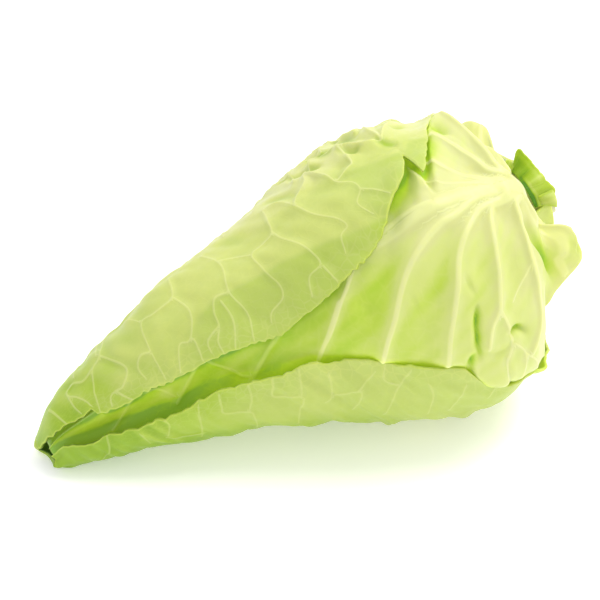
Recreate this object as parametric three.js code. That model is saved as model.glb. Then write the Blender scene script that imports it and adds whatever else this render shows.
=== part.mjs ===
// A pointed cabbage lying on its side, as cut from the field.
// Millimetres, +Z up. The tip points towards -X, the cut stalk towards +X and a little up.
// The origin is in the middle of the flat patch that the outer leaf's belly rests on.
//
// Every leaf is described in the head's own coordinates:
//   along   0 at the stalk, 1 at the tip, measured over the outside of the head
//   angle   degrees round the head's axis: 0 front, 90 top, 180 back, -90 bottom
//   depth   millimetres below the head's outside, along its normal
import * as THREE from 'three';

// ---- driving dimensions ----

// half outline of the head: distance along its axis from the stalk, and radius
const headOutline = [
  [-2, 16], [5, 33], [15, 53], [34, 65.5], [62, 73], [97, 66],
  [136, 50], [174, 39], [208, 29], [230, 21], [244, 15.5], [254, 10],
];
// how far the middle of the head lies above its straight axis, by distance along it
const headBend = [[-30, 0], [0, 0], [33, -10.5], [72, -8], [121, -2], [176, 5.5], [254, 2]];
const axisTilt = THREE.MathUtils.degToRad(21);    // the tip hangs below the stalk
const stalkPlace = new THREE.Vector3(52.9, 0, 99.6);

const leafThickness = 1.4;
const outerLeafThickness = 1.6;
const stalkRadius = 13;
const stalkCut = -5;                              // where the knife went through
const stalkTop = 12;
const heartStart = 0.02;                          // along the head
const heartEnd = 0.8;
const heartTip = 216;                             // along the axis
const heartRings = 18;
const stubThickness = 1.1;

const paleGreen = 0xd6e092;
const leafGreen = 0xb9cf62;
const creamGreen = 0xe4e8a4;
const stalkGreen = 0xe6ebc0;
const tornGreen = 0xb2ca31;

// ---- the head's coordinates ----

const axis = new THREE.Vector3(-Math.cos(axisTilt), 0, -Math.sin(axisTilt));
const above = new THREE.Vector3(-Math.sin(axisTilt), 0, Math.cos(axisTilt));
const front = new THREE.Vector3(0, -1, 0);
const outline = new THREE.SplineCurve(headOutline.map(([s, r]) => new THREE.Vector2(s, r)));
outline.arcLengthDivisions = 1200;

// A smooth curve through stops of [place, value], level beyond its ends and at its peaks.
function smooth(stops, place) {
  const last = stops.length - 1;
  const x = THREE.MathUtils.clamp(place, stops[0][0], stops[last][0]);
  let i = 0;
  while (i < last - 1 && x > stops[i + 1][0]) i += 1;
  const width = (k) => stops[k + 1][0] - stops[k][0];
  const slope = (k) => (stops[k + 1][1] - stops[k][1]) / width(k);
  const slopeAt = (k) => {
    if (k === 0) return slope(0);
    if (k === last) return slope(last - 1);
    const [before, after] = [slope(k - 1), slope(k)];
    return before * after > 0 ? 2 * before * after / (before + after) : 0;
  };
  const t = (x - stops[i][0]) / width(i);
  return (2 * t ** 3 - 3 * t ** 2 + 1) * stops[i][1]
    + (t ** 3 - 2 * t ** 2 + t) * width(i) * slopeAt(i)
    + (3 * t ** 2 - 2 * t ** 3) * stops[i + 1][1]
    + (t ** 3 - t ** 2) * width(i) * slopeAt(i + 1);
}

function bump(x, middle, width) {
  return Math.exp(-(((x - middle) / width) ** 2));
}

// A point by its distance along the axis, its distance from it and its angle round it.
function axisPoint(distance, radius, angle) {
  const turn = THREE.MathUtils.degToRad(angle);
  const lift = radius * Math.sin(turn) + smooth(headBend, distance);
  return stalkPlace.clone()
    .addScaledVector(axis, distance)
    .addScaledVector(front, radius * Math.cos(turn))
    .addScaledVector(above, lift);
}

// A point of the head. Where it would sink below the surface it rests on, the leaves lie flat,
// one on another.
function headPoint(along, angle, depth) {
  const place = outline.getPointAt(along);
  const run = outline.getTangentAt(along);
  const point = axisPoint(place.x + run.y * depth, place.y - run.x * depth, angle);
  point.z = Math.max(point.z, depth);
  return point;
}

// ---- closed meshes ----

function meshOf(name, colour, points, triangles) {
  const geometry = new THREE.BufferGeometry();
  const places = points.flatMap((point) => point.toArray());
  geometry.setAttribute('position', new THREE.Float32BufferAttribute(places, 3));
  geometry.setIndex(triangles);
  geometry.computeVertexNormals();
  const material = new THREE.MeshStandardMaterial({ color: colour, roughness: 0.5, metalness: 0 });
  const mesh = new THREE.Mesh(geometry, material);
  mesh.name = name;
  return mesh;
}

// A thin closed sheet. outside and inside give its two faces by row and column.
function sheet(name, colour, rows, columns, outside, inside) {
  const points = [];
  for (const face of [outside, inside]) {
    for (let i = 0; i <= rows; i += 1) {
      for (let j = 0; j <= columns; j += 1) points.push(face(i / rows, j / columns));
    }
  }
  const at = (i, j) => i * (columns + 1) + j;
  const under = (rows + 1) * (columns + 1);
  const triangles = [];
  for (let i = 0; i < rows; i += 1) {
    for (let j = 0; j < columns; j += 1) {
      const [a, b, c, d] = [at(i, j), at(i, j + 1), at(i + 1, j), at(i + 1, j + 1)];
      triangles.push(a, b, c, b, d, c);
      triangles.push(a + under, c + under, b + under, b + under, c + under, d + under);
    }
  }
  const rim = [];
  for (let j = 0; j < columns; j += 1) rim.push(at(0, j));
  for (let i = 0; i < rows; i += 1) rim.push(at(i, columns));
  for (let j = columns; j > 0; j -= 1) rim.push(at(rows, j));
  for (let i = rows; i > 0; i -= 1) rim.push(at(i, 0));
  rim.forEach((p, k) => {
    const q = rim[(k + 1) % rim.length];
    triangles.push(q, p, p + under, q, p + under, q + under);
  });
  return meshOf(name, colour, points, triangles);
}

function circle(count, pointAt) {
  return Array.from({ length: count }, (_, j) => pointAt(j * 360 / count));
}

// A round closed body: rings of points from one pole to the other.
function roundBody(name, colour, rings, firstPole, lastPole) {
  const columns = rings[0].length;
  const points = [...rings.flat(), firstPole, lastPole];
  const start = points.length - 2;
  const end = points.length - 1;
  const triangles = [];
  for (let j = 0; j < columns; j += 1) {
    const k = (j + 1) % columns;
    triangles.push(start, k, j);
    for (let i = 0; i < rings.length - 1; i += 1) {
      const [a, b, c, d] = [i * columns + j, i * columns + k, (i + 1) * columns + j, (i + 1) * columns + k];
      triangles.push(a, b, c, b, d, c);
    }
    const rim = (rings.length - 1) * columns;
    triangles.push(end, rim + j, rim + k);
  }
  return meshOf(name, colour, points, triangles);
}

// ---- leaves ----

// A leaf wraps from its low margin to its high one. Rows crowd towards the stalk,
// where its stalk end opens into the blade.
function leaf(shape) {
  const along = (i) => shape.from + (shape.to - shape.from) * i ** 1.25;
  const face = (below) => (i, j) => {
    const v = along(i);
    const low = smooth(shape.lowMargin, v);
    const high = smooth(shape.highMargin, v);
    const angle = low + (high - low) * j;
    const depth = smooth(shape.depth, v) - shape.swell(v, angle);
    return headPoint(v, angle, depth + below);
  };
  return sheet(shape.name, shape.colour, shape.rows, shape.columns, face(0), face(shape.thickness));
}

// The biggest leaf: its rib runs along the underside at the back, and its two margins
// almost meet along the front.
function outerLeaf() {
  return leaf({
    name: 'outer_leaf',
    colour: leafGreen,
    thickness: outerLeafThickness,
    rows: 28,
    columns: 34,
    from: 0,
    to: 1,
    lowMargin: [
      [0, 160], [0.05, 178], [0.085, 180], [0.12, 150], [0.195, 110], [0.24, 83], [0.32, 68],
      [0.41, 50], [0.46, 44], [0.555, 34], [0.6, 31], [0.78, 35], [0.84, 32], [0.9, 37], [1, 46],
    ],
    highMargin: [
      [0, 235], [0.05, 216], [0.085, 215], [0.12, 250], [0.16, 286], [0.22, 318], [0.28, 329],
      [0.35, 352], [0.42, 359], [0.49, 363], [0.56, 367], [0.66, 367], [0.73, 363], [0.81, 356],
      [0.87, 351], [0.92, 356], [1, 370],
    ],
    depth: [[0, 0], [1, 0]],
    swell: () => 0,
  });
}

// The leaf that shows in front: its broad pale rib faces the viewer. Where the outer leaf
// leaves it bare it swells out to the head's outline, and its lower base lobe flares backwards.
function secondLeaf() {
  const bare = (v, angle) => THREE.MathUtils.smoothstep(v, 0.03, 0.09)
    * (1 - THREE.MathUtils.smoothstep(v, 0.19, 0.3))
    * THREE.MathUtils.smoothstep(angle, -36, -18)
    * (1 - THREE.MathUtils.smoothstep(angle, 56, 80));
  const lobe = (v, angle) => 8 * (1 - THREE.MathUtils.smoothstep(v, 0.1, 0.16)) * bump(angle, 2, 24);
  return leaf({
    name: 'second_leaf',
    colour: creamGreen,
    thickness: leafThickness,
    rows: 28,
    columns: 22,
    from: 0.004,
    to: 0.945,
    lowMargin: [
      [0, 5], [0.05, 25], [0.08, 27], [0.105, -30], [0.135, -58], [0.2, -64], [0.8, -60], [0.945, -25],
    ],
    highMargin: [
      [0, 88], [0.05, 69], [0.08, 66], [0.105, 112], [0.135, 158], [0.2, 168], [0.8, 150], [0.945, 110],
    ],
    depth: [[0, 7.5], [0.05, 5], [0.1, 3.3], [0.5, 3.3], [0.75, 6], [0.945, 6]],
    swell: (v, angle) => 3.3 * bare(v, angle) + lobe(v, angle),
  });
}

// The two leaves below, spread evenly either side of their ribs.
function innerLeaf(name, rib, depth, end) {
  const half = [
    [0, 42], [0.05, 22], [0.08, 22], [0.12, 72], [0.17, 102], [0.5, 108], [0.75, 95], [end, 50],
  ];
  return leaf({
    name,
    colour: paleGreen,
    thickness: leafThickness,
    rows: 26,
    columns: 16,
    from: 0.014,
    to: end,
    lowMargin: half.map(([v, width]) => [v, rib - width]),
    highMargin: half.map(([v, width]) => [v, rib + width]),
    depth,
    swell: () => 0,
  });
}

function thirdLeaf() {
  const depth = [[0, 11], [0.1, 6.2], [0.5, 6.1], [0.75, 9], [0.9, 9.2]];
  return innerLeaf('third_leaf', 267, depth, 0.87);
}

function fourthLeaf() {
  const depth = [[0, 14.2], [0.1, 8.9], [0.5, 8.7], [0.75, 11.8], [0.9, 12]];
  return innerLeaf('fourth_leaf', 129, depth, 0.84);
}

// ---- the heart, the stalk and the torn leaves ----

// The tight middle of the head, grown together round its growing point.
function heart() {
  const depth = [[0, 17], [0.1, 11.7], [0.5, 11.4], [0.75, 14.5], [0.8, 15.5]];
  const ring = (v) => circle(24, (angle) => headPoint(v, angle, smooth(depth, v)));
  const rings = Array.from({ length: heartRings + 1 }, (_, i) => (
    ring(THREE.MathUtils.lerp(heartStart, heartEnd, i / heartRings))
  ));
  return roundBody('heart', creamGreen, rings, axisPoint(stalkTop + 0.8, 0, 0), axisPoint(heartTip, 0, 0));
}

function stalk() {
  const rings = [[stalkCut, 0.94], [stalkCut + 1, 1], [stalkTop, 0.92]].map(([distance, share]) => (
    circle(28, (angle) => axisPoint(distance, stalkRadius * share, angle))
  ));
  return roundBody('stalk', stalkGreen, rings, axisPoint(stalkCut, 0, 0), axisPoint(stalkTop, 0, 0));
}

// What is left of a leaf that was torn off round the stalk. The edge is given as
// [angle, distance along the axis, distance from it].
function tornStub(name, edge, root) {
  const distances = edge.map(([angle, distance]) => [angle, distance]);
  const radii = edge.map(([angle, , radius]) => [angle, radius]);
  const face = (inwards) => (i, j) => {
    const first = edge[0][0];
    const angle = first + (edge[edge.length - 1][0] - first) * (1 - j);
    const distance = THREE.MathUtils.lerp(smooth(distances, angle), root.distance, 1 - i);
    const radius = THREE.MathUtils.lerp(smooth(radii, angle), root.radius, 1 - i);
    return axisPoint(distance, radius - inwards, angle);
  };
  return sheet(name, tornGreen, 4, 14, face(0), face(stubThickness));
}

function tornLeafStub() {
  const edge = [
    [2, -5, 17.5], [20, -6.8, 18], [45, -6.5, 18], [75, -3.5, 20.5], [100, -0.5, 24], [112, 1, 20],
  ];
  return tornStub('torn_leaf_stub', edge, { distance: 1.6, radius: 15.1 });
}

function smallLeafStub() {
  const edge = [[104, 3.5, 18], [118, 3, 22], [132, 4.5, 18]];
  return tornStub('small_leaf_stub', edge, { distance: 7.5, radius: 15.1 });
}

// ---- the cabbage ----

const cabbage = new THREE.Group();
cabbage.add(stalk(), heart(), fourthLeaf(), thirdLeaf(), secondLeaf(), outerLeaf());
cabbage.add(tornLeafStub(), smallLeafStub());

export default cabbage;
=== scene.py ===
import math

import bpy
import numpy as np
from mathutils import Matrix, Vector


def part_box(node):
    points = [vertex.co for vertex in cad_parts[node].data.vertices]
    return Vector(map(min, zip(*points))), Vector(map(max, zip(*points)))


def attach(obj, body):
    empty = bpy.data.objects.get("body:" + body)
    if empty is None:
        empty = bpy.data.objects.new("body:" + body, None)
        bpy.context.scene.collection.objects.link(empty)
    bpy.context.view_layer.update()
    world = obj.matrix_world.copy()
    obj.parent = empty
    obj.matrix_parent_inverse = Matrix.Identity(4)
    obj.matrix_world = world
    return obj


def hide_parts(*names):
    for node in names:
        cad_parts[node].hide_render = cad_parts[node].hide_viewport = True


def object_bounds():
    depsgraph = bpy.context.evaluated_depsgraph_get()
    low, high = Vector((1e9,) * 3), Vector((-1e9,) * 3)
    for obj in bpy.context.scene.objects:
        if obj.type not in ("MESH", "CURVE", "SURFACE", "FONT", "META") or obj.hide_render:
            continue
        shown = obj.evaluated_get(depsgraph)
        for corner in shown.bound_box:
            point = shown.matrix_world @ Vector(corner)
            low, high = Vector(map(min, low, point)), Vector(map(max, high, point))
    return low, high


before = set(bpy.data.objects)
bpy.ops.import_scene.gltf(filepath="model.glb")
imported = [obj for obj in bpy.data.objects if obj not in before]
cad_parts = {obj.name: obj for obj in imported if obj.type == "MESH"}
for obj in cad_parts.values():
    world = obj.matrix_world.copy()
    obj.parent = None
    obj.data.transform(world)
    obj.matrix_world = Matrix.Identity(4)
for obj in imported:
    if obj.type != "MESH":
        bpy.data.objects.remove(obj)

cadBox = [list(corner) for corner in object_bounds()]
mm = 0.001
bpy.ops.object.select_all(action="DESELECT")
print("frame loaded")


# small number tools

def smooth(stops, x):  # a smooth curve through (place, value) stops, level at its peaks
    px, py = np.array(stops, float).T
    gap = np.diff(px)
    steep = np.diff(py) / gap
    both = steep[:-1] * steep[1:]
    slope = np.zeros(len(px))
    slope[1:-1] = np.where(both > 0, 2 * both / np.where(both > 0, steep[:-1] + steep[1:], 1), 0)
    slope[0], slope[-1] = steep[0], steep[-1]
    x = np.clip(np.asarray(x, float), px[0], px[-1])
    i = np.clip(np.searchsorted(px, x, side="right") - 1, 0, len(px) - 2)
    t = (x - px[i]) / gap[i]
    return ((2 * t**3 - 3 * t**2 + 1) * py[i] + (t**3 - 2 * t**2 + t) * gap[i] * slope[i]
            + (3 * t**2 - 2 * t**3) * py[i + 1] + (t**3 - t**2) * gap[i] * slope[i + 1])


def rise(x, low, high):  # 0 below low, 1 above high
    t = np.clip((np.asarray(x, float) - low) / (high - low), 0, 1)
    return t * t * (3 - 2 * t)


def zone(x, start, full, last, end):  # 1 from full to last, 0 before start and past end
    return rise(x, start, full) * (1 - rise(x, last, end))


def hump(x, middle, width):  # 1 in the middle, soft on both sides
    return np.exp(-((np.asarray(x, float) - middle) / width) ** 2)


def fading(distance, width):  # 1 up to an edge, then softly to 0
    return hump(np.maximum(distance, 0), 0, width)


def humps(x, places):  # each as (place, reach, height)
    return sum(height * hump(x, place, reach) for place, reach, height in places)


def bumps(along, angle, places):  # each as (place, reach, middle, spread, height)
    return sum(height * hump(along, place, reach) * hump(angle, middle, spread)
               for place, reach, middle, spread, height in places)


def wander(a, b, size, seed):  # soft unevenness between about -1 and 1 over two lengths
    picks = np.random.default_rng(seed)
    total = 0
    for _ in range(7):
        turn = picks.uniform(0, 2 * math.pi)
        reach = 2 * math.pi / (size * picks.uniform(0.7, 1.5))
        total = total + np.sin(reach * (a * math.cos(turn) + b * math.sin(turn))
                               + picks.uniform(0, 2 * math.pi))
    return total / 3.2


def wanders(a, b, waves):  # each wave as (height, size, seed)
    return sum(height * wander(a, b, size, seed) for height, size, seed in waves)


def softLine(points, steps=5):  # a curve through the points, in steps from one to the next
    p = np.array(points, float)
    if len(p) < 3:
        return p
    last = len(p) - 1
    u = np.linspace(0, last, last * steps + 1)
    i = np.minimum(u.astype(int), last - 1)
    w = (u - i)[:, None]
    before, after = p[np.maximum(i - 1, 0)], p[np.minimum(i + 2, last)]
    a, b = p[i], p[i + 1]
    s0, s1 = (b - before) / 2, (after - a) / 2
    return (2 * a - 2 * b + s0 + s1) * w**3 + (-3 * a + 3 * b - 2 * s0 - s1) * w**2 + s0 * w + a


# the head's own coordinates: along it (0 stalk, 1 tip), round it, and outwards

head = {
    "outline": [(-2, 16), (5, 33), (15, 53), (34, 65.5), (62, 73), (97, 66),
                (136, 50), (174, 39), (208, 29), (230, 21), (244, 15.5), (254, 10)],
    "bend": [(-30, 0), (0, 0), (33, -10.5), (72, -8), (121, -2), (176, 5.5), (254, 2)],
    "tilt": 21,          # degrees that the tip hangs
    "stalkMiddle": 3.5,  # from the stalk's seat to the middle of its solid
    "dents": [           # place and reach along, middle and spread round, height
        (.165, .05, -22, 26, -6.5), (.24, .06, -52, 24, -3.5),
        (.42, .2, 100, 45, -2.0), (.16, .07, 100, 35, -1.5), (.75, .13, -60, 40, -1.1),
        (.38, .12, -60, 30, -1.5), (.87, .07, -62, 32, -2.6),
    ],
    "pinchStart": 0.955, "pinch": 6.5,
}
tilt = math.radians(head["tilt"])
axis = np.array([-math.cos(tilt), 0, -math.sin(tilt)])
above = np.array([-math.sin(tilt), 0, math.cos(tilt)])
front = np.array([0, -1.0, 0])
stalkLow, stalkHigh = (np.array(corner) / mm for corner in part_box("stalk"))
seat = (stalkLow + stalkHigh) / 2 - head["stalkMiddle"] * axis
seat[1] = 0


def outlineTable(stops):  # the outline by its arc length, with its outward normal
    line = softLine(stops, 100)
    run = np.r_[0, np.cumsum(np.linalg.norm(np.diff(line, axis=0), axis=1))]
    even = np.linspace(0, run[-1], 400)
    line = np.c_[np.interp(even, run, line[:, 0]), np.interp(even, run, line[:, 1])]
    tangent = np.gradient(line, axis=0)
    tangent /= np.linalg.norm(tangent, axis=1)[:, None]
    return run[-1], line, np.c_[-tangent[:, 1], tangent[:, 0]]


headArc, headLine, headNormal = outlineTable(head["outline"])
headSteps = np.linspace(0, 1, len(headLine))


def distanceAt(along):
    return np.interp(along, headSteps, headLine[:, 0])


def radiusAt(along):
    return np.interp(along, headSteps, headLine[:, 1])


def axisPoint(distance, radius, angle):
    turn = np.radians(angle)
    lift = radius * np.sin(turn) + smooth(head["bend"], distance)
    return (seat + distance[..., None] * axis + (radius * np.cos(turn))[..., None] * front
            + lift[..., None] * above)


def axisAt(distance):  # on the middle line itself
    distance = np.asarray(distance, float)
    return axisPoint(distance, 0 * distance, 0 * distance)


def headPoint(along, angle, out):
    along, angle, out = np.broadcast_arrays(along, angle, out)
    distance = distanceAt(along) + out * np.interp(along, headSteps, headNormal[:, 0])
    radius = radiusAt(along) + out * np.interp(along, headSteps, headNormal[:, 1])
    return axisPoint(distance, np.maximum(radius, 0), angle)


def degreeSize(along):  # millimetres round the head in one degree
    return np.radians(1) * radiusAt(along)


def dents(along, angle):  # where the head is fuller or flatter than its round outline
    return bumps(along, (np.asarray(angle) + 180) % 360 - 180, head["dents"])


def pinchTip(points, along):  # the tip is pressed together and its upper wall comes down
    share = rise(along, head["pinchStart"], 1.0)[:, None]
    centre = axisAt(distanceAt(along))[:, None]
    height = (points - centre) @ above
    radius = radiusAt(along)[:, None]
    drop = head["pinch"] * share * np.clip((height + radius) / (2 * radius), 0, 1)
    return points - drop[..., None] * above


def softFloor(height, floor, soft=2):  # settles on the floor height without a crease
    t = np.clip((height - floor + soft) / (2 * soft), 0, 1)
    settled = np.where(height < floor - soft, floor, floor + soft * t * t)
    return np.where(height < floor + soft, settled, height)


def leafPoints(along, parts):
    if "points" in parts:
        return parts["points"]
    points = headPoint(along[:, None], parts["angle"], parts["out"])
    points = pinchTip(points, along)
    points = points + np.asarray(parts.get("longer", 0.0))[..., None] * axis
    points[..., 2] = softFloor(points[..., 2], parts["floor"])
    return points


def rowPlaces(look, share):  # rows are closer where the leaf has fine folds
    v = np.linspace(look["start"], look["end"], 1200)
    run = np.cumsum(1 + humps(v, look.get("fineRows", [])) + 0 * v)
    return np.interp(share, (run - run[0]) / (run[-1] - run[0]), v)


# strokes: veins, folds and valleys drawn on a leaf by a few places each

def drawStrokes(along, angle, strokes, reach=16.0):
    # along is one value a row, angle one a row and column
    near = np.full(angle.shape, reach)
    side = np.full(angle.shape, reach)
    half = np.full(angle.shape, 0.5)
    relief = np.zeros(angle.shape)
    turnSize = degreeSize(along)
    for stroke in strokes:
        line = softLine(stroke["points"])
        count = len(line)
        widths = np.linspace(*stroke["width"], count)
        heights = np.linspace(*stroke["height"], count)
        if stroke["fade"]:
            heights = heights * np.sin(math.pi * np.linspace(0.06, 0.94, count)) ** 0.7
        for k in range(count - 1):
            (v0, a0), (v1, a1) = line[k], line[k + 1]
            aside = reach / headArc
            rows = np.nonzero((along > min(v0, v1) - aside) & (along < max(v0, v1) + aside))[0]
            if not len(rows):
                continue
            part = slice(rows[0], rows[-1] + 1)
            x = ((along[part] - v0) * headArc)[:, None]
            y = (angle[part] - a0) * turnSize[part, None]
            dx = (v1 - v0) * headArc
            dy = ((a1 - a0) * turnSize[part])[:, None]
            t = np.clip((x * dx + y * dy) / (dx * dx + dy * dy + 1e-9), 0, 1)
            ex, ey = x - t * dx, y - t * dy
            distance = np.hypot(ex, ey)
            width = widths[k] + (widths[k + 1] - widths[k]) * t
            height = heights[k] + (heights[k + 1] - heights[k]) * t
            closer = distance < near[part]
            near[part] = np.where(closer, distance, near[part])
            side[part] = np.where(closer, distance * np.sign(dx * ey - dy * ex), side[part])
            half[part] = np.where(closer, width, half[part])
            push = height * hump(distance, 0, stroke["spread"] * width)
            relief[part] = np.where(np.abs(push) > np.abs(relief[part]), push, relief[part])
    return {"veinSide": side, "veinNear": near, "veinHalf": half}, relief


def veinStroke(points, width, height, fade=False, spread=1.6):  # width and height at both ends
    return {"points": points, "width": width, "height": height, "fade": fade, "spread": spread}


def pressed(along, angle, lines):  # how far each place is pushed by lines of (places, width, height)
    strokes = [veinStroke(line, (width, width), (height, height), fade=True, spread=1.3)
               for line, width, height in lines]
    return drawStrokes(along, angle, strokes)[1]


# shader maths

class Wire:  # one socket that takes part in sums
    def __init__(self, paint, socket):
        self.paint = paint
        self.socket = socket

    def maths(self, operation, *values):
        return self.paint.add("ShaderNodeMath", {"operation": operation}, dict(enumerate(values)))

    def __add__(self, other):
        return self.maths("ADD", self, other)

    def __radd__(self, other):
        return self.maths("ADD", other, self)

    def __sub__(self, other):
        return self.maths("SUBTRACT", self, other)

    def __rsub__(self, other):
        return self.maths("SUBTRACT", other, self)

    def __mul__(self, other):
        return self.maths("MULTIPLY", self, other)

    def __rmul__(self, other):
        return self.maths("MULTIPLY", other, self)

    def __abs__(self):
        return self.maths("ABSOLUTE", self)


class Paint:  # one material and its nodes
    def __init__(self, name):
        self.material = bpy.data.materials.new(name)
        self.material.use_nodes = True
        self.tree = self.material.node_tree
        self.tree.nodes.clear()

    def add(self, kind, settings=None, values=None, output=0):
        node = self.tree.nodes.new(kind)
        for key, value in (settings or {}).items():
            if key == "stops":
                ramp = node.color_ramp
                while len(ramp.elements) < len(value):
                    ramp.elements.new(0.5)
                for element, (place, colour) in zip(ramp.elements, value):
                    element.position = place
                    element.color = colour
            else:
                setattr(node, key, value)
        for key, value in (values or {}).items():
            if isinstance(value, Wire):
                self.tree.links.new(value.socket, node.inputs[key])
            else:
                node.inputs[key].default_value = value
        return Wire(self, node.outputs[output])

    def written(self, name):  # an attribute of the mesh
        return self.add("ShaderNodeAttribute", {"attribute_name": name}, output="Fac")

    def between(self, value, low, high):  # 0 to 1, soft at both ends
        return self.add("ShaderNodeMapRange", {"interpolation_type": "SMOOTHSTEP"},
                        {"Value": value, "From Min": low, "From Max": high})

    def blend(self, first, second, share):
        node = self.tree.nodes.new("ShaderNodeMix")
        node.data_type = "RGBA"
        for socket, value in ((node.inputs[0], share), (node.inputs[6], first), (node.inputs[7], second)):
            if isinstance(value, Wire):
                self.tree.links.new(value.socket, socket)
            else:
                socket.default_value = value
        return Wire(self, node.outputs[2])

    def finish(self, values):
        values = {"Specular IOR Level": 0.32, **values}
        shader = self.add("ShaderNodeBsdfPrincipled", {"subsurface_method": "RANDOM_WALK"}, values)
        out = self.tree.nodes.new("ShaderNodeOutputMaterial")
        self.tree.links.new(shader.socket, out.inputs["Surface"])
        return self.material


def rgb(red, paintedStrokeShade, blue):  # from screen values to the renderer's own
    return tuple(c / 12.92 if c <= 0.04045 else ((c + 0.055) / 1.055) ** 2.4
                 for c in (red / 255, paintedStrokeShade / 255, blue / 255)) + (1.0,)


leafPaint = {
    "tones": [(0.0, rgb(210, 211, 158)), (0.12, rgb(207, 207, 138)), (0.3, rgb(196, 201, 113)),
              (0.5, rgb(180, 191, 99)), (0.75, rgb(163, 183, 61)), (1.0, rgb(140, 168, 34))],
    "vein": rgb(211, 211, 148),
    "through": rgb(20, 48, 10),  # painted glow: emission in place of light that shines through the leaves above, and more of it in pockets
    "paintedPocketGlow": rgb(118, 138, 28),
    "margin": rgb(196, 206, 96),
    "inside": rgb(36, 84, 30),   # painted shade: the inner face's colour where it is deep in shade
    "paintedInsideGlow": rgb(4, 12, 2),       # and its painted glow there, in place of the light that comes through it
    "clouds": (38.0, 0.22),      # broad tones and fine specks: how many a metre, how strong
    "specks": (420.0, 0.07),
    "netSize": 230,              # small cells a metre, which show more near the margins
    "net": 0.025, "marginNet": 0.07,
    "netSway": (90.0, 0.006),    # how many bends a metre, how far
    "halo": 0.08,                # paler beside the veins
    "roughness": 0.45,
    "glow": 0.45,                # share of light that goes through
    "glowDepth": 0.004,
    "coat": 0.06,
}


def leafMaterial(name, look):
    paint = Paint(name)
    side = abs(paint.written("veinSide"))
    near = paint.written("veinNear")
    half = paint.written("veinHalf")
    pale = paint.written("veinPale")
    margin = paint.written("marginNear")
    inside = paint.written("inside")
    place = paint.add("ShaderNodeTexCoord", output="Object")
    flat = paint.add("ShaderNodeUVMap", {"uv_map": "leafFlat"})
    cloudSize, cloudShare = look["clouds"]
    speckSize, speckShare = look["specks"]
    cloud = paint.add("ShaderNodeTexNoise", {}, {"Vector": place, "Scale": cloudSize, "Detail": 3.0})
    speck = paint.add("ShaderNodeTexNoise", {}, {"Vector": place, "Scale": speckSize, "Detail": 3.0})
    swaySize, swayFar = look["netSway"]
    sway = paint.add("ShaderNodeTexNoise", {}, {"Vector": flat, "Scale": swaySize}, output="Color")
    sway = paint.add("ShaderNodeVectorMath", {"operation": "SCALE"}, {0: sway, "Scale": swayFar})
    bent = paint.add("ShaderNodeVectorMath", {"operation": "ADD"}, {0: flat, 1: sway})
    net = paint.add("ShaderNodeTexVoronoi", {"feature": "DISTANCE_TO_EDGE"},
                    {"Vector": bent, "Scale": look["netSize"], "Randomness": 0.9})
    netLine = 1 - paint.between(net, 0.0, 0.11)
    netShown = look["marginNet"] * (1 - paint.between(margin, 3.0, 14.0)) + look["net"]
    close = 1 - paint.between(near, half * 1.2, half * 2.6)
    line = (1 - paint.between(side, half * 0.45, half * 1.25)) * close
    halo = 1 - paint.between(near, half, half * 4.0)
    shade = (paint.written("tone") + (cloud - 0.5) * cloudShare + (speck - 0.5) * speckShare
             - netLine * netShown - halo * pale * look["halo"])
    colour = paint.add("ShaderNodeValToRGB", {"stops": look["tones"]}, {"Fac": shade})
    colour = paint.blend(colour, look["vein"], line * pale)
    colour = paint.blend(colour, look["margin"], (1 - paint.between(margin, 0.2, 0.9)) * 0.4)
    # painted shade on the inner face near the tip, and a painted glow in place of light that comes through
    # the leaves
    colour = paint.blend(colour, look["inside"], inside)
    paintedGlowColour = paint.blend(look["through"], look["paintedPocketGlow"], paint.written("lit"))
    paintedGlowColour = paint.blend(paintedGlowColour, look["paintedInsideGlow"], inside)
    rough = look["roughness"] + (speck - 0.5) * 0.12 + netLine * 0.05
    height = line * 0.5 + netLine * 0.08 + speck * 0.10
    bump = paint.add("ShaderNodeBump", {}, {"Strength": 0.35, "Distance": 0.0006, "Height": height})
    return paint.finish({
        "Base Color": colour, "Roughness": rough, "Normal": bump,
        "Subsurface Weight": look["glow"], "Subsurface Radius": (1.0, 1.0, 0.25),
        "Subsurface Scale": look["glowDepth"], "Emission Color": paintedGlowColour, "Emission Strength": 1.0,
        "Coat Weight": look["coat"], "Coat Roughness": 0.3,
    })


# leaf building

uvRadius = 50  # the flat map is measured round the head at this radius


def readPlaces(mesh):
    places = np.zeros(len(mesh.vertices) * 3)
    mesh.vertices.foreach_get("co", places)
    return places.reshape(-1, 3)


def gridSheet(name, rows, columns):  # a flat grid; gives each vertex its row and column share
    bpy.ops.mesh.primitive_grid_add(x_subdivisions=columns, y_subdivisions=rows, size=1)
    sheet = bpy.context.object
    sheet.name = name
    sheet.data.name = name
    flat = readPlaces(sheet.data) + 0.5
    order = np.lexsort((flat[:, 0], flat[:, 1].round(6)))
    return sheet, flat, order, len(np.unique(flat[:, 0].round(6)))


def writeValue(mesh, name, values):
    layer = mesh.attributes.new(name, "FLOAT", "POINT")
    layer.data.foreach_set("value", values.astype(np.float32))


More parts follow.
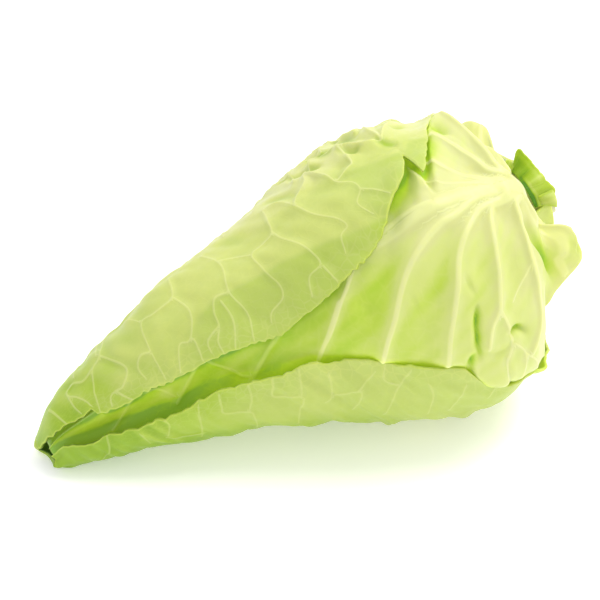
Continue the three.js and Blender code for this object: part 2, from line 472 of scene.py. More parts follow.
def closeSheet(sheet, thickness, keepShare):  # gives the sheet its back, with fewer faces there
    mesh = sheet.data
    group = sheet.vertex_groups.new(name="thickness")
    most = float(thickness.max())
    steps = 32  # the thickness is written in this many steps
    for step in range(1, steps + 1):
        chosen = np.nonzero(np.round(thickness / most * steps).astype(int) == step)[0]
        if len(chosen):
            group.add(chosen.tolist(), step / steps, "REPLACE")
    sheet.vertex_groups.new(name="back")
    bpy.context.view_layer.objects.active = sheet
    outside = len(mesh.vertices)
    wall = sheet.modifiers.new("wall", "SOLIDIFY")
    wall.thickness = most * mm
    wall.offset = -1
    wall.use_quality_normals = True
    wall.vertex_group = "thickness"
    wall.shell_vertex_group = "back"
    bpy.ops.object.modifier_apply(modifier="wall")
    inside = np.zeros(len(mesh.vertices))
    mesh.attributes["inside"].data.foreach_get("value", inside)
    inside[:outside] = 0  # painted shade: only the inner face is darkened
    mesh.attributes["inside"].data.foreach_set("value", inside)
    if keepShare < 1:
        fewer = sheet.modifiers.new("fewer", "DECIMATE")
        fewer.ratio = keepShare
        fewer.vertex_group = "back"
        bpy.ops.object.modifier_apply(modifier="fewer")
    sheet.vertex_groups.clear()
    bpy.ops.object.shade_smooth()
    bpy.ops.object.select_all(action="DESELECT")
    print("  ", sheet.name, len(mesh.vertices), "vertices", len(mesh.polygons), "faces")


def growLeaf(name, node, look, shape, material):
    # shape(look, along, share) gives angle, out, thickness and the painted values, row by column
    sheet, flat, order, wide = gridSheet(name, look["rows"], look["columns"])
    high = len(flat) // wide
    share = flat[order, 0].reshape(high, wide)
    along = rowPlaces(look, flat[order, 1].reshape(high, wide)[:, 0])
    parts = shape(look, along, share)

    def spread(values):  # from row and column to the sheet's own order
        spreadOut = np.zeros(len(flat))
        spreadOut[order] = np.broadcast_to(values, share.shape).ravel()
        return spreadOut

    points = leafPoints(along, parts) * mm
    placed = np.stack([spread(points[..., k]) for k in range(3)], axis=1)
    sheet.data.vertices.foreach_set("co", placed.ravel())
    for key, values in {"lit": 0.0, "inside": 0.0, **parts["painted"]}.items():
        writeValue(sheet.data, key, spread(values))
    layer = sheet.data.uv_layers[0] if sheet.data.uv_layers else sheet.data.uv_layers.new()
    layer.name = "leafFlat"
    flatPlace = np.stack([spread(along[:, None] * headArc * mm),
                          spread(np.radians(parts["angle"]) * uvRadius * mm)], axis=1)
    corners = np.zeros(len(sheet.data.loops), int)
    sheet.data.loops.foreach_get("vertex_index", corners)
    layer.data.foreach_set("uv", flatPlace[corners].ravel())
    sheet.data.update()
    closeSheet(sheet, spread(parts["thickness"]), look["keepShare"])
    sheet.data.materials.append(material)
    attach(sheet, "root")
    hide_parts(node)


def teethOf(arc, seed, fine, coarse):  # an uneven, finely toothed margin, in millimetres
    return fine * wander(arc, 0 * arc, 4.2, seed) + coarse * wander(arc, 0 * arc, 11.0, seed + 1)


def marginOf(look, edge, down):  # a margin's angle along the leaf, with its teeth
    teeth = teethOf(down * headArc, *look["teeth"][edge]) / degreeSize(down)
    return smooth(look[edge + "Margin"], down) + teeth * rise(down, *look["teethFrom"])


def marginDistance(down, angle, low, high):  # millimetres from the nearer margin and from the high one
    gaps = []
    for edge, gap in ((low, angle - low), (high, high - angle)):
        slant = np.gradient(edge[:, 0], down[:, 0])[:, None] * degreeSize(down) / headArc
        gaps.append(gap * (degreeSize(down) / np.sqrt(1 + np.clip(slant, -1.2, 1.2) ** 2)))
    return np.minimum(*gaps), gaps[1]


def leafThickness(look, fromRib, down):  # thicker along the rib, most at the stalk
    more = look["ribThicker"] * hump(fromRib, 0, look["ribReach"])
    return look["thickness"] + more * (1 - rise(down, *look["ribThins"]))


branching = {  # branches of a rib and the cross veins between them
    "starts": (0.1, 0.9, 0.085),   # first, last and step along the rib
    "uneven": 0.01,
    "round": (11, 16),             # least and most of a step, in millimetres round the head
    "forward": (0.008, 0.03),      # and along it
    "flat": 0.35,                  # every second step goes forward by this share only
    "leastRadius": 14,
    "bend": (0.004, 4),            # how far a cross vein bends along and round
    "change": 0.45,                # from here on the second reach holds
}


def branchNet(look, way, reach, seed):
    picks = np.random.default_rng(seed)
    lines = []
    before = None
    for start in np.arange(*branching["starts"]):
        place = start + picks.uniform(-branching["uneven"], branching["uneven"])
        angle = look["rib"]
        line = [(place, angle)]
        while abs(angle - look["rib"]) < reach[int(place >= branching["change"])]:
            radius = max(radiusAt(place), branching["leastRadius"])
            angle = angle + way * math.degrees(picks.uniform(*branching["round"]) / radius)
            place = place + picks.uniform(*branching["forward"]) * (1 if len(line) % 2 else branching["flat"])
            line.append((place, angle))
        lines.append(line)
        for k in range(1, min(len(line), len(before)) - 1 if before else 0):
            near, far = np.array(before[k + 1]), np.array(line[k])
            bend = (near + far) / 2 + [picks.uniform(-most, most) for most in branching["bend"]]
            lines.append([tuple(near), tuple(bend), tuple(far)])
        before = line
    return lines


# the outer leaf: its two margins almost meet along the front, its rib runs underneath at the back
outer = {
    "rows": 310, "columns": 270, "start": 0.0, "end": 0.999, "keepShare": 0.56,
    "fineRows": [(.27, .05, 1.2), (.97, .05, 1.2)],  # place, reach, how many more
    "lowMargin": [(0, 160), (.05, 178), (.085, 180), (.12, 150), (.165, 124), (.19, 112), (.209, 103),
                  (.222, 96), (.228, 90), (.244, 82), (.258, 76), (.273, 70), (.2835, 66.5), (.29, 79),
                  (.297, 74), (.307, 69.5), (.316, 66.5), (.326, 65), (.337, 63), (.347, 61), (.362, 57),
                  (.396, 50), (.434, 46), (.471, 43), (.511, 39), (.545, 36), (.569, 34), (.59, 31),
                  (.612, 31), (.68, 32), (.76, 31), (.802, 33), (.818, 34), (.834, 32), (.854, 32),
                  (.867, 34), (.888, 37), (.896, 40), (.8985, 48), (.903, 45), (.926, 46), (.953, 48),
                  (.964, 49), (.973, 56), (.985, 65), (1, 71)],
    "highMargin": [(0, 235), (.05, 216), (.085, 215), (.12, 245), (.16, 279), (.177, 294), (.194, 309),
                   (.227, 322), (.254, 329), (.275, 332), (.3, 334), (.317, 337), (.335, 341), (.346, 346),
                   (.361, 354), (.404, 359), (.444, 363), (.481, 368), (.531, 371), (.564, 373), (.6, 371),
                   (.632, 369), (.669, 369), (.694, 371), (.747, 369), (.794, 366), (.847, 366),
                   (.877, 369), (.93, 371), (.955, 377), (.973, 385), (.985, 391), (1, 394)],
    "flaps": [(0, 160), (.12, 150), (.165, 124), (.2, 108), (.24, 84), (.27, 73), (.3, 70), (.33, 65),
              (.362, 57), (.434, 46), (.511, 39), (.569, 34), (.612, 31), (.8, 33), (.888, 37), (.91, 46),
              (.964, 49), (1, 71)],
    "crest": [(.33, 56), (.362, 57), (.41, 59), (.46, 61), (.52, 63), (.56, 64), (.64, 64), (.75, 52),
              (1, 50)],
    "flapFold": [(.2, 104), (.238, 87), (.265, 86), (.285, 80), (.315, 80), (.341, 82), (.374, 84), (.4, 85)],
    "tones": [(0, .2), (.2, .36), (.35, .42), (.5, .38), (.65, .36), (.8, .46), (.9, .7), (1, .9)],
    "teeth": {"low": (3, 0.45, 0.35), "high": (5, 0.4, 0.4)},  # seed, fine and coarse height
    "teethFrom": (0.1, 0.2),
    "crowding": 0.05, "flapReach": 0.14,  # columns: closer at the margins, and this share follows the notches
    "rib": 197,
    "thickness": 1.2, "ribThicker": 4.5, "ribReach": 7, "ribThins": (0, 0.5),
    "ribSize": ((5.5, 0.8), (4.0, 0.8)),  # widths and heights, at the start and the end
    "veinSize": ((0.62, 0.4), (0.5, 0.3)),
    "branchSize": ((0.8, 0.5), (0.8, 0.4)),
    "nets": [(-1, (80, 75), 9), (1, (105, 105), 10)],  # way round, reach, seed
    "uneven": [(0.8, 38, 11), (0.3, 15, 12)],  # height, size, seed
    "patches": (13, 14), "patchHeight": 0.45,
    "ruffledRound": (72, 92, 135, 175), "ruffledAlong": (0.35, 0.15), "ruffle": 2.6,  # near the stalk, on top
    "pillow": 0.3, "pillowReach": 5.0,
    "crestHeight": 1.3, "crestReach": (20, 9), "crestAlong": (.3, .36, .85, .95),
    "deepest": 2.2,  # no hollow is deeper, to stay clear of the second leaf
    "swells": [(.915, .035, 125, 40, 1.8)],  # place and reach along, middle and spread round, height
    "standOff": 0.8, "flapLifts": [(.315, .035, 3.2), (.27, .015, 1.6), (.225, .02, -0.4)],
    # at the tip: height, where along it grows, and which wall, or middle and spread round
    "tipWalls": ((140, 190), (296, 326)),
    "tipLonger": [(3.4, (.93, 1), "back"), (4.6, (.93, .985), "far"), (-3.8, (.983, 1), "far"),
                  (3.2, (.93, .985), (198, 32)), (-1.2, (.96, 1), (378, 9))],
    "tipOut": [(-1.5, (.96, 1), (300, 35)), (1.6, (.975, 1), (345, 30)),
               (-1.4, (.95, .985), "far"), (-3.2, (.983, 1), "far")],
    "veins": [
        # the front, from the rib's branches to the upper margin
        [(.637, 105), (.619, 87), (.619, 76), (.627, 63), (.619, 49), (.629, 33)],
        [(.627, 63), (.65, 64), (.661, 57), (.665, 48), (.677, 40), (.677, 33)],
        [(.617, 87), (.591, 83), (.569, 77)],
        [(.516, 103), (.524, 83), (.549, 80), (.569, 77), (.564, 66), (.559, 60), (.554, 54), (.561, 48),
         (.586, 44), (.594, 39)],
        [(.524, 83), (.514, 74), (.491, 64), (.484, 54), (.509, 51), (.519, 43)],
        [(.484, 54), (.474, 44)],
        [(.516, 103), (.489, 99), (.47, 86), (.454, 75), (.427, 67), (.42, 62), (.435, 60), (.443, 53)],
        [(.47, 86), (.458, 92), (.435, 97), (.427, 104), (.404, 91), (.397, 83), (.378, 78), (.374, 73),
         (.389, 68), (.378, 61)],
        [(.374, 73), (.355, 69), (.341, 64)],
        [(.359, 106), (.359, 89), (.37, 86), (.397, 83)],
        [(.427, 104), (.4, 112), (.381, 111), (.359, 106)],
        [(.359, 106), (.323, 95), (.299, 93)],
        [(.299, 93), (.276, 104), (.26, 112)],
        [(.299, 93), (.305, 106), (.3, 118)],
        [(.697, 105), (.707, 84), (.744, 82), (.767, 83), (.774, 60), (.774, 35)],
        [(.714, 49), (.708, 47), (.711, 34)],
        [(.644, 60), (.642, 48), (.658, 33)],
        [(.665, 48), (.69, 43), (.694, 36)],
        [(.777, 57), (.792, 59), (.804, 52), (.8, 42)],
        [(.707, 84), (.694, 65), (.714, 49), (.732, 50), (.749, 34)],
        [(.794, 110), (.767, 83)],
        [(.832, 118), (.85, 90), (.868, 82), (.881, 62), (.883, 51), (.887, 40)],
        [(.85, 90), (.837, 76), (.82, 58), (.836, 47), (.85, 47), (.861, 45), (.866, 38)],
        [(.85, 47), (.841, 38), (.834, 33)],
        [(.868, 82), (.892, 80), (.91, 92), (.924, 90), (.924, 80), (.912, 69), (.9, 56), (.895, 47)],
        [(.924, 80), (.923, 62), (.918, 50)],
        [(.96, 95), (.952, 67), (.946, 50)],
        # the lower flap
        [(.715, 368), (.719, 359), (.719, 352), (.685, 348), (.681, 340), (.685, 315)],
        [(.669, 368), (.673, 358), (.685, 348)],
        [(.631, 369), (.635, 364), (.642, 355), (.604, 353), (.604, 348), (.615, 339), (.623, 325)],
        [(.589, 371), (.596, 361), (.604, 352)],
        [(.75, 366), (.757, 355), (.769, 325)],
        [(.765, 333), (.788, 334), (.819, 341)],
        [(.807, 365), (.804, 358), (.815, 344)],
        [(.85, 359), (.846, 339)],
        [(.55, 366), (.554, 359), (.562, 349), (.573, 346)],
        [(.562, 349), (.519, 353), (.519, 348), (.539, 335)],
        [(.519, 353), (.485, 362)],
        [(.435, 360), (.458, 353), (.473, 346), (.496, 330)],
        [(.458, 353), (.477, 357), (.466, 365)],
        [(.416, 351), (.416, 344), (.42, 339), (.431, 330)],
        [(.366, 345), (.374, 341), (.4, 326)],
        [(.326, 336), (.338, 331)],
        [(.9, 369), (.91, 345), (.93, 330)],
    ],
    "folds": [  # places, width, height
        ([(.225, 94), (.24, 88), (.265, 87), (.287, 82), (.315, 81), (.341, 83), (.374, 85),
          (.4, 86)], 3.0, 1.1),
        # the hollows between its veins on top
        ([(.297, 125), (.289, 119), (.283, 112)], 3.0, -2.8),
        ([(.233, 125), (.224, 122), (.216, 119)], 2.2, -2.4),
        ([(.268, 102), (.259, 103), (.25, 105)], 1.5, -1.6),
        ([(.284, 110), (.277, 106)], 1.2, -1.4),
        ([(.305, 94.5), (.297, 90.5), (.289, 88)], 1.6, -2.4),
        ([(.345, 121), (.341, 114), (.341, 103)], 3.4, -3.2),
        ([(.345, 133), (.335, 128), (.325, 133)], 2.0, -2.2),
        ([(.36, 103), (.352, 97), (.338, 96)], 1.5, -2.2),
        ([(.4, 118), (.388, 114), (.374, 108)], 2.8, -3.2),
        ([(.431, 112), (.416, 107), (.404, 103)], 1.8, -2.6),
        ([(.447, 117), (.443, 112), (.432, 111)], 1.6, -2.2),
        ([(.462, 122), (.454, 121), (.446, 119)], 1.6, -1.8),
        ([(.504, 113), (.485, 105), (.464, 94)], 2.6, -1.8),
        ([(.21, 134), (.219, 130), (.23, 124)], 2.6, -3.0),
        ([(.6, 112), (.585, 102), (.57, 94)], 4.0, -1.2),
        # soft bumps along the lower flap
        ([(.485, 300), (.487, 308), (.484, 318)], 2.6, 1.7),
        ([(.365, 298), (.37, 308), (.375, 318)], 3.2, 1.9),
        ([(.6, 302), (.605, 312), (.608, 322)], 3.0, 0.9),
        ([(.72, 296), (.725, 306), (.72, 320)], 4.0, 1.7),
    ],
}


def tipTerms(terms, down, angle):
    farRound, flapRound = outer["tipWalls"]
    back = 1 - rise(angle, *flapRound)
    walls = {"back": back, "far": rise(angle, *farRound) * back}
    return sum(height * rise(down, *grows) * (walls[place] if place in walls else hump(angle, *place))
               for height, grows, place in terms)


def outerShape(look, along, share):
    down = along[:, None]
    size = degreeSize(down)
    low, high = marginOf(look, "low", down), marginOf(look, "high", down)
    crowded = share - look["crowding"] * np.sin(2 * math.pi * share)
    flaps = smooth(look["flaps"], down)
    angle = flaps + (high - flaps) * crowded + (low - flaps) * (1 - rise(share, 0, look["flapReach"]))
    marginNear, fromHigh = marginDistance(down, angle, low, high)
    arc, around = down * headArc, angle * size
    strokes = [veinStroke(line, *look["veinSize"]) for line in look["veins"]]
    for way, reach, seed in look["nets"]:
        strokes += [veinStroke(line, *look["branchSize"]) for line in branchNet(look, way, reach, seed)]
    strokes.append(veinStroke([(v, look["rib"]) for v in (0, .3, .6, 1)], *look["ribSize"]))
    veins, relief = drawStrokes(along, angle, strokes)
    folds = pressed(along, angle, look["folds"])
    ruffled = zone(angle, *look["ruffledRound"]) * hump(down, *look["ruffledAlong"])
    pillow = look["pillow"] - look["ruffle"] * ruffled
    pillow = pillow * (1 - hump(veins["veinNear"], 0, look["pillowReach"]))
    # above its upper margin the leaf has a long soft crest, and turns down from there
    fromCrest = (angle - smooth(look["crest"], down)) * size
    crest = look["crestHeight"] * hump(fromCrest, 0, np.where(fromCrest > 0, *look["crestReach"]))
    crest = crest * zone(down, *look["crestAlong"])
    patches = wander(arc, around, *look["patches"]) * rise(down, .68, .85)
    out = relief * (1 + 1.5 * ruffled) + pillow + 0.6 * ruffled + folds + crest
    out = out + look["patchHeight"] * patches * (1 - rise(down, .95, 1))
    out = np.where(out < 0, look["deepest"] * np.tanh(out / look["deepest"]), out)
    out = out + bumps(down, angle, look["swells"]) + dents(down, angle)
    out = out + wanders(arc, around, look["uneven"]) * rise(down, .05, .15) * (1 - 0.6 * rise(down, .8, .95))
    # the upper margin stands off a little, most at its two flaps, and the lower one bulges near the stalk
    lift = look["standOff"] + humps(down, look["flapLifts"])
    out = out + lift * fading((angle - flaps) * size, 8) * rise(down, .1, .2)
    out = out + 0.6 * hump(fromHigh, 0, 6) * rise(down, .35, .45)
    out = out + 4.4 * hump(fromHigh, 0, 8) * hump(down, .228, .036)
    out = out + tipTerms(look["tipOut"], down, angle)
    fromRib = (angle - look["rib"]) * size
    underside = rise(angle, 300, 322)
    # painted shade: masks for the side below the crest and the flap's face, which are coloured darker green
    paintedShadeBelowCrest = rise(-fromCrest, -1.5, 2.5) * zone(down, .3, .36, .64, .76) * rise(angle, 20, 30)
    paintedFlapShade = 1 - rise(angle - smooth(look["flapFold"], down), -1, 2)
    paintedFlapShade = paintedFlapShade * zone(down, .2, .22, .36, .4) * rise(angle, 30, 40)
    # painted shade: darker green on the underside, most towards the tip
    paintedUndersideShade = (underside * (0.12 + 0.2 * rise(down, .55, .82))
             + 0.3 * (1 - rise(angle, 312, 345)) * rise(down, .4, .6))
    tone = (smooth(look["tones"], down)
            # painted shade: greener below the crest, in hollows, on the flap's face, on the inner side by the
            # high margin and on the underside; and greener along the margins near the tip, its own colour
            + 0.2 * paintedShadeBelowCrest + 0.14 * paintedFlapShade - 0.2 * np.minimum(folds, 0) - 0.09 * patches
            + 0.1 * hump(marginNear, 0, 9) * rise(down, .55, .75)
            + 0.4 * hump(fromHigh, 0, 4) * hump(down, .225, .03)
            + paintedUndersideShade * rise(angle, 225, 250) * rise(down, .2, .3)
            # painted sheen: paler on top; its own colour: paler along the rib and at the stalk
            - 0.22 * zone(angle, 84, 100, 150, 190) * (1 - rise(down, .45, .75))
            - 0.14 * zone(angle, 98, 118, 150, 190) * hump(down, .55, .17)
            - 0.35 * hump(fromRib, 0, 12) * (1 - 0.6 * down) - 0.15 * (1 - rise(down, .05, .25)))
    return {
        "angle": angle, "out": out, "floor": 0.0, "longer": tipTerms(look["tipLonger"], down, angle),
        "thickness": leafThickness(look, fromRib, down),
        # painted glints: paler veins on the ruffled top; painted glow in the pocket by the high margin;
        # painted shade on the inner face near the tip
        "painted": {**veins, "veinPale": 0.38 - 0.12 * underside + 0.3 * ruffled,
                    "marginNear": marginNear, "tone": tone,
                    "lit": 0.8 * hump(down, .225, .035) * hump(fromHigh, 0, 5),
                    "inside": 0.75 * rise(down, .82, .92)},
    }


growLeaf("outerLeaf", "outer_leaf", outer, outerShape,
         leafMaterial("outerLeafSkin", leafPaint))
print("outer leaf grown")


# the second leaf: broad pale rib, a fan of raised veins, a ruffled base that flares at the lower right
second = {
    "rows": 310, "columns": 270, "start": 0.004, "end": 0.985, "keepShare": 0.56,
    "fineRows": [(.14, .08, 1.3)],
    "lowMargin": [(0, 12), (.03, 14), (.05, 17), (.062, 19), (.07, 19), (.077, 17), (.083, 14), (.09, 10),
                  (.096, 8), (.102, 6), (.108, 0), (.114, -4), (.119, -6), (.126, -9), (.132, -10),
                  (.138, -11), (.146, -13), (.154, -17), (.164, -22), (.172, -22.5), (.18, -26), (.2, -39),
                  (.22, -50), (.25, -58), (.8, -60), (.985, -20)],
    "lowOut": [(0, -13), (.03, -11), (.055, -9.5), (.065, -7.5), (.077, -4.6), (.083, -2.6), (.09, 1.3),
               (.096, 4.7), (.102, 8.2), (.108, 8.9), (.114, 10.8), (.119, 10.9), (.126, 7.9), (.132, 5.5),
               (.138, 3.2), (.146, .7), (.154, -1.3), (.164, -5), (.172, -2.3), (.18, -1.4), (.2, -2),
               (.22, 0), (.25, -2.2), (.3, -3.3), (.5, -3.3), (.75, -6), (.93, -5.8), (.985, -9.5)],
    "highMargin": [(0, 76), (.03, 73), (.05, 75), (.07, 82), (.078, 88), (.084, 100), (.09, 107), (.105, 118),
                   (.135, 150), (.2, 165), (.8, 150), (.985, 100)],
    "highOut": [(0, -12), (.03, -9), (.05, -8), (.07, -8), (.078, -5.5), (.084, -1.5), (.09, 0.2), (.105, 0),
                (.135, -2.5), (.2, -3.3), (.5, -3.3), (.75, -6), (.93, -5.8), (.985, -9.5)],
    "depth": [(0, 13.5), (.02, 11.8), (.045, 10.8), (.08, 9), (.1, 7.4), (.12, 5.2), (.14, 3.9), (.17, 3.3),
              (.5, 3.3), (.75, 6), (.93, 5.8), (.985, 9.5)],
    "teeth": {"low": (23, 0.3, 0.5), "high": (25, 0.3, 0.5)}, "teethFrom": (0.07, 0.1),
    "crowding": 0.03, "edgeReach": 9.0,
    "thickness": 1.2, "ribThicker": 5, "ribReach": 9, "ribThins": (0.02, 0.3),
    "ribSize": ((6.5, 0.8), (2.6, 0.8)),
    "uneven": [(0.6, 30, 31), (0.25, 13, 32)],
    "swollen": 3.3, "veinSwollen": (1.2, 6.5),  # where it is bare, and more of it near the veins
    "tones": [(0, .02), (.1, .12), (.18, .2), (.26, .36), (.34, .47), (.42, .6), (.52, .77), (.65, .79),
              (.8, .77), (.9, .76), (.95, .82), (.985, .92)],
    "rib": [(.0, 46), (.06, 44), (.1, 42), (.16, 46), (.183, 50), (.216, 53), (.27, 54), (.32, 53), (.4, 51),
            (.55, 49), (.75, 47), (.985, 45)],
    "branches": [  # places, widths, heights
        ([(.3, 55), (.351, 56), (.4, 53), (.43, 50), (.448, 46), (.471, 40), (.489, 35), (.52, 25),
          (.549, 16), (.6, -6)], (1.5, .8), (1.4, 1.0)),
        ([(.2, 50), (.232, 51), (.277, 48), (.302, 47), (.332, 44), (.366, 39), (.396, 32), (.426, 22),
          (.448, 15), (.467, 7), (.5, -8)], (1.9, 1.0), (2.0, 1.2)),
        ([(.18, 47), (.231, 47), (.256, 44), (.28, 40), (.302, 34), (.324, 25), (.347, 16), (.366, 8),
          (.385, -4), (.4, -12)], (1.7, 1.0), (2.0, 1.2)),
        ([(.17, 44), (.211, 46), (.219, 45), (.232, 40), (.247, 31), (.26, 22), (.28, 12), (.302, 7),
          (.317, 0)],
         (1.5, .8), (1.8, 1.0)),
        ([(.165, 42), (.178, 41), (.182, 34), (.192, 25), (.2, 17), (.205, 8), (.216, -2), (.241, -10),
          (.256, -13)], (1.6, .9), (2.0, 1.2)),
        ([(.15, 41), (.135, 33), (.112, 22), (.111, 10), (.126, 0), (.134, -7)], (1.8, 1.0), (2.0, 1.4)),
        ([(.28, 12), (.277, 5), (.28, -4), (.298, -9), (.306, -18)], (.9, .5), (.7, .4)),
        ([(.205, 19), (.229, 15), (.253, 11)], (.6, .4), (.4, .2)),
        ([(.277, -4), (.266, -11), (.28, -22), (.286, -36)], (.6, .4), (.6, .3)),
        ([(.266, -11), (.25, -20), (.248, -34)], (.6, .4), (.5, .3)),
        ([(.178, 53), (.218, 60), (.243, 67), (.265, 75), (.3, 90)], (1.4, .8), (1.5, .9)),
        ([(.158, 54), (.188, 60), (.198, 69), (.21, 79), (.226, 88), (.25, 105)], (1.6, .9), (1.8, 1.1)),
        ([(.155, 54), (.17, 60), (.169, 69), (.168, 83), (.173, 93), (.178, 109)], (1.8, 1.0), (2.2, 1.4)),
        ([(.14, 56), (.13, 64), (.115, 78), (.1, 91), (.098, 108)], (1.6, .9), (1.8, 1.2)),
        ([(.195, 54), (.231, 58), (.266, 61), (.286, 67)], (.9, .5), (.8, .4)),
        ([(.45, 50), (.56, 44), (.595, 32), (.628, 22), (.662, 7), (.69, -8)], (1.5, 1.2), (1.8, 1.4)),
        ([(.7, 40), (.711, 30), (.688, 17), (.677, 9), (.662, 7)], (1.0, .9), (1.0, 1.0)),
        ([(.49, 36), (.523, 25), (.55, 16), (.575, 4)], (1.3, 1.0), (1.2, 1.0)),
        ([(.71, 38), (.737, 29), (.764, 17), (.786, 4)], (1.2, 1.0), (1.4, 1.0)),
        ([(.82, 32), (.801, 29), (.786, 12)], (.9, .7), (.8, .6)),
        ([(.84, 34), (.865, 23), (.899, -1)], (1.0, .8), (1.0, .7)),
    ],
    "valleys": [  # places, width, height
        ([(.173, 33), (.169, 30), (.162, 23), (.146, 12), (.136, 1), (.138, -7)], 2.6, -4.5),
        ([(.1, 1), (.107, -2), (.111, -4)], 2.0, -1.8),
        ([(.095, 23), (.112, 15), (.118, 5), (.127, -2)], 2.0, 1.8),
        ([(.306, 16), (.317, 11), (.328, 3), (.331, -3)], 1.3, -3.6),
        ([(.324, -1), (.309, -4), (.295, -5), (.284, -4), (.277, -1)], 1.4, -1.4),
        ([(.336, -1), (.344, -2), (.351, -6), (.352, -14)], 1.3, -2.4),
        ([(.295, -5), (.302, -12), (.3, -22), (.292, -36)], 1.0, -1.4),
        ([(.277, 0), (.268, 1), (.258, 0), (.251, -3)], 1.4, -3.6),
        ([(.306, 29), (.306, 24), (.302, 20)], 1.2, -1.2),
        ([(.227, 33), (.229, 26), (.246, 15), (.26, 6)], 3.5, -1.2),
        ([(.256, 39), (.27, 29), (.281, 20), (.306, 10)], 4.0, -1.6),
        ([(.298, 42), (.324, 35), (.347, 26), (.371, 17), (.396, 8)], 5.5, -2.2),
        ([(.388, 29), (.388, 21), (.392, 15)], 1.3, -1.0),
        ([(.366, 45), (.4, 41), (.43, 34), (.455, 24)], 5.5, -1.6),
        ([(.463, 34), (.457, 29), (.448, 25)], 1.2, -1.0),
        ([(.15, 66), (.14, 76), (.135, 87), (.135, 98), (.14, 112)], 2.4, -2.6),
        ([(.205, 99), (.204, 94), (.2, 89)], 2.0, -2.4),
        ([(.268, 72), (.243, 67), (.222, 63), (.195, 58)], 2.6, -1.6),
    ],
    "greens": [  # painted shade: greener along valleys and dimples, paler along a few lines
        ([(.162, 28), (.142, 16), (.132, 5), (.137, -4)], 2.8, 0.62),
        ([(.114, 7), (.117, 2), (.115, -3)], 3.2, 0.45),
        ([(.306, 16), (.317, 11), (.328, 3), (.331, -2)], 1.0, 0.4),
        ([(.336, 0), (.345, -2), (.351, -9)], 1.1, 0.35),
        ([(.278, -1), (.268, 1), (.258, 0), (.25, -3)], 1.0, 0.4),
        ([(.298, -6), (.303, -13), (.301, -20)], 0.9, 0.14),
        ([(.339, -6), (.347, -12), (.347, -18)], 0.7, -0.3),
        ([(.298, 42), (.324, 35), (.347, 26), (.371, 17), (.396, 8)], 5.0, 0.05),
        ([(.366, 45), (.4, 41), (.43, 34), (.455, 24)], 5.0, 0.06),
        ([(.256, 39), (.27, 29), (.281, 20), (.306, 10)], 3.6, 0.05),
        ([(.15, 66), (.14, 76), (.135, 87), (.135, 98), (.14, 112)], 2.0, 0.2),
        ([(.205, 99), (.204, 94), (.2, 89)], 2.0, 0.4),
        ([(.8, 28), (.795, 20), (.79, 12)], 2.5, -0.14),
        ([(.62, 30), (.66, 24)], 3.0, -0.1),
    ],
    "swells": [  # place and reach along, middle and spread round, height
        (.31, .03, -16, 9, 2.4), (.255, .028, -20, 10, 2.4), (.195, .022, 108, 9, 2.6),
        (.098, .018, 18, 8, -4.0), (.172, .016, -9, 9, -3.2),
    ],
}


secondPaint = {
    **leafPaint, "netSize": 150, "marginNet": 0.02,
    "through": rgb(50, 75, 18), "paintedPocketGlow": rgb(114, 130, 25), "vein": rgb(216, 214, 150),
    "tones": [(0.0, rgb(207, 204, 140)), (0.12, rgb(205, 203, 138)), (0.3, rgb(204, 207, 129)),
              (0.5, rgb(199, 205, 117)), (0.72, rgb(180, 197, 72)), (0.86, rgb(158, 188, 34)),
              (1.0, rgb(98, 150, 44))],
}


